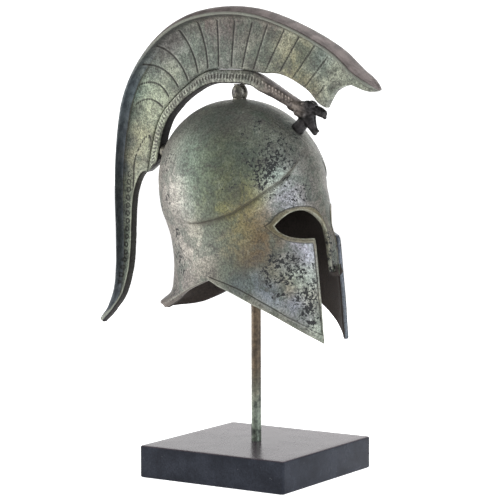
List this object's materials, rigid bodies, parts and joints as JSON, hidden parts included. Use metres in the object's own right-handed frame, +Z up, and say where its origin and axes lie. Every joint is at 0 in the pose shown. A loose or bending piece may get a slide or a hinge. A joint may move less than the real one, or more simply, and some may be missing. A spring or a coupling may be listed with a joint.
{
  "type": "crested greek bronze helmet on a stone display stand",
  "caption": "Closed bronze helmet with almond eye openings, nasal and pointed cheek guards under a tall crest plate on a serpent band, held on a rod over a square stone slab.",
  "frame": {"origin": "middle of the slab's underside, on the surface that the stand rests on", "axes": "+Z up along the rod, -Y the way the helmet faces, +X to the helmet's left side"},
  "size_m": [0.15, 0.2981, 0.4164],
  "materials": {
    "bowl_bronze": "grey-green patina with dark mottling and pits",
    "crest_bronze": "granular olive and teal patina",
    "serpent_bronze": "dark brown satin patina",
    "rod_bronze": "brown patina with verdigris",
    "slab_stone": "polished dark marble"
  },
  "bodies": {
    "root": {"helmet_bowl": "bowl_bronze", "crest_plume": "crest_bronze", "crest_serpent": "serpent_bronze", "crest_knob": "serpent_bronze", "rear_peg": "crest_bronze", "stand_rod": "rod_bronze", "stand_base": "slab_stone"}
  },
  "joints": []
}
